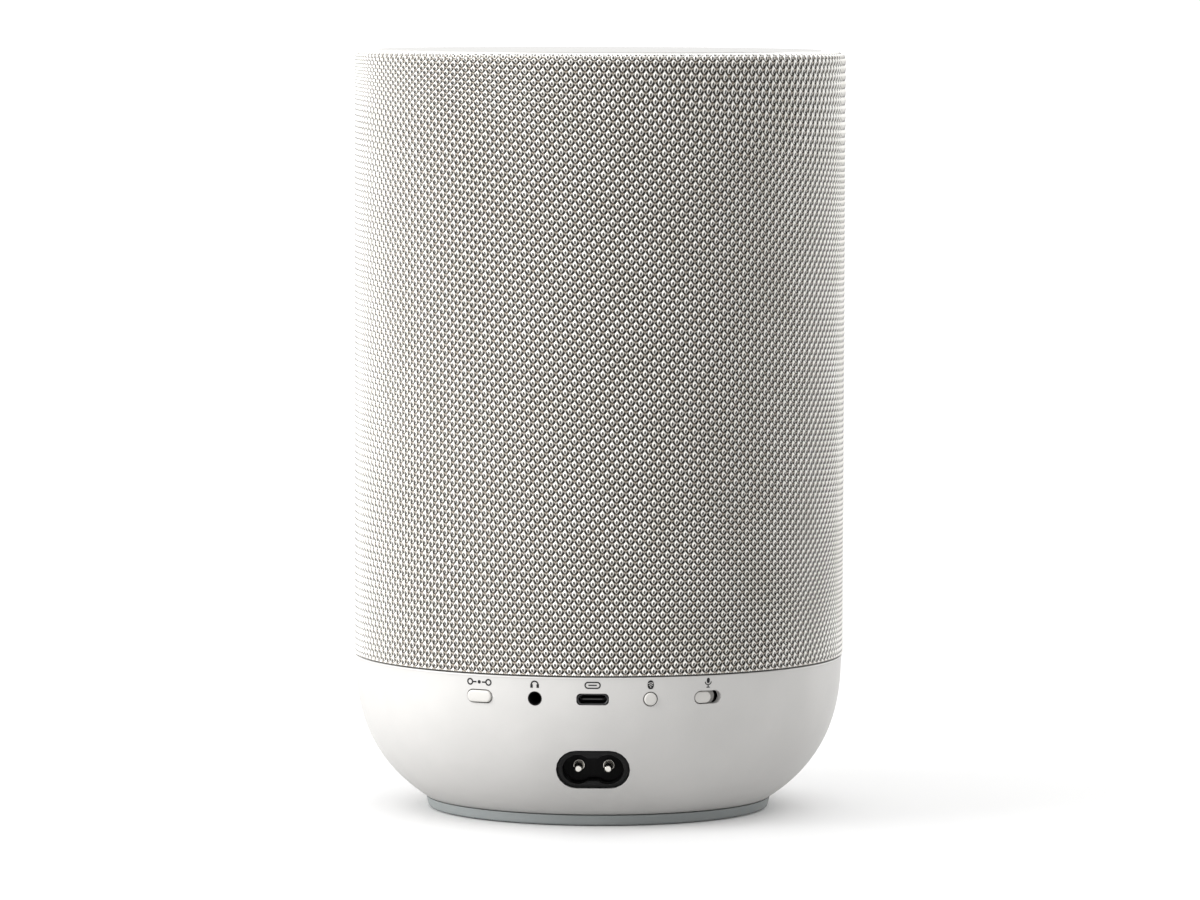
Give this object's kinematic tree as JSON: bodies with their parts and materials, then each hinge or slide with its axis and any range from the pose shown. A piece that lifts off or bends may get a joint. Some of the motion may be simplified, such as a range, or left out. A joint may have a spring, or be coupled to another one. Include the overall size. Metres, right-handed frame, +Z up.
{
  "type": "smart speaker",
  "caption": "Free-standing cylindrical smart speaker in a knitted fabric sleeve, with a moulded base that carries sockets, push buttons and a microphone switch at the rear.",
  "frame": {"origin": "on the surface it stands on, at the middle of the foot", "axes": "+Z up, -Y the front that the drivers face, +Y the rear with the sockets and buttons"},
  "size_m": [0.145, 0.145, 0.2235],
  "materials": {
    "shell_plastic": "fine matt warm light grey moulding",
    "knit_fabric": "open knit of off-white drops over beige diagonals, with dark holes",
    "foot_rubber": "smooth matt blue-grey rubber",
    "button_plastic": "satin warm light grey",
    "panel_plastic": "satin light grey",
    "diffuser": "milky translucent white",
    "socket_plastic": "black moulding",
    "nickel": "nickel plate",
    "dark_metal": "blackened nickel plate",
    "steel": "zinc-plated steel",
    "ferrite": "dark grey ferrite",
    "cone": "black pulp",
    "surround_rubber": "soft black rubber",
    "copper": "enamelled copper wire",
    "driver_cloth": "resin-set cloth",
    "aluminium": "extruded",
    "foam": "closed-cell foam",
    "cable": "vinyl",
    "circuit_board": "green solder mask",
    "inner_plastic": "black moulding"
  },
  "bodies": {
    "housing": {"base_shell": "shell_plastic", "grille_frame": "inner_plastic", "fabric_sleeve": "knit_fabric", "woofer_basket": "inner_plastic", "cabinet": "inner_plastic", "top_carrier": "inner_plastic", "chassis_deck": "inner_plastic", "woofer_surround": "surround_rubber", "radiator_surround_left": "surround_rubber", "radiator_surround_right": "surround_rubber", "foot_ring": "foot_rubber", "woofer_spider": "driver_cloth", "mains_inlet": "socket_plastic", "bottom_cover": "inner_plastic", "woofer_gasket": "foam", "radiator_frame_left": "inner_plastic", "radiator_frame_right": "inner_plastic", "light_ring": "diffuser", "top_panel": "panel_plastic", "tweeter_frame": "inner_plastic", "power_board": "circuit_board", "speaker_lead": "cable", "usb_socket": "dark_metal", "woofer_top_plate": "steel", "woofer_magnet": "ferrite", "woofer_back_plate": "steel", "mains_lead": "cable", "mains_pin_left": "nickel", "mains_pin_right": "nickel", "main_board": "circuit_board", "touch_board": "circuit_board", "audio_jack": "socket_plastic", "heatsink": "aluminium", "port_board": "circuit_board", "tweeter_magnet": "ferrite", "transformer": "ferrite", "woofer_screw_1": "steel", "woofer_screw_2": "steel", "woofer_screw_3": "steel", "woofer_screw_4": "steel", "cover_screw_1": "steel", "cover_screw_2": "steel", "cover_screw_3": "steel", "connect_switch": "socket_plastic", "pairing_switch": "socket_plastic", "microphone_left": "nickel", "microphone_right": "nickel", "touch_cable": "cable", "usb_tongue": "socket_plastic", "slide_switch": "socket_plastic", "wireless_shield": "nickel"},
    "connect_button": {"connect_button": "button_plastic"},
    "pairing_button": {"pairing_button": "button_plastic"},
    "mic_slider": {"mic_slider": "button_plastic"},
    "woofer_cone": {"woofer_cone": "cone", "dust_cap": "cone", "voice_coil": "copper"},
    "tweeter_dome": {"tweeter_dome": "driver_cloth"},
    "radiator_left": {"radiator_diaphragm_left": "cone"},
    "radiator_right": {"radiator_diaphragm_right": "cone"}
  },
  "joints": [
    {"name": "connect_press", "type": "slide", "parent": "housing", "child": "connect_button", "axis": [-0.4587, -0.8886, 0], "range_m": [0, 0.0005], "stiffness_N_per_m": 400},
    {"name": "pairing_press", "type": "slide", "parent": "housing", "child": "pairing_button", "axis": [0.236, -0.9718, 0], "range_m": [0, 0.0005], "stiffness_N_per_m": 400},
    {"name": "mic_slide", "type": "slide", "parent": "housing", "child": "mic_slider", "axis": [-0.8886, -0.4587, 0], "range_m": [0, 0.0029]},
    {"name": "woofer_stroke", "type": "slide", "parent": "housing", "child": "woofer_cone", "axis": [0, -1, 0], "range_m": [-0.003, 0.003], "stiffness_N_per_m": 900, "deforming": ["woofer_surround", "woofer_spider"]},
    {"name": "tweeter_stroke", "type": "slide", "parent": "housing", "child": "tweeter_dome", "axis": [0, -1, 0], "range_m": [-0.0003, 0.0003], "stiffness_N_per_m": 600},
    {"name": "radiator_left_stroke", "type": "slide", "parent": "housing", "child": "radiator_left", "axis": [-1, 0, 0], "range_m": [-0.003, 0.003], "stiffness_N_per_m": 500, "deforming": ["radiator_surround_left"]},
    {"name": "radiator_right_stroke", "type": "slide", "parent": "housing", "child": "radiator_right", "axis": [1, 0, 0], "range_m": [-0.003, 0.003], "stiffness_N_per_m": 500, "deforming": ["radiator_surround_right"]}
  ]
}
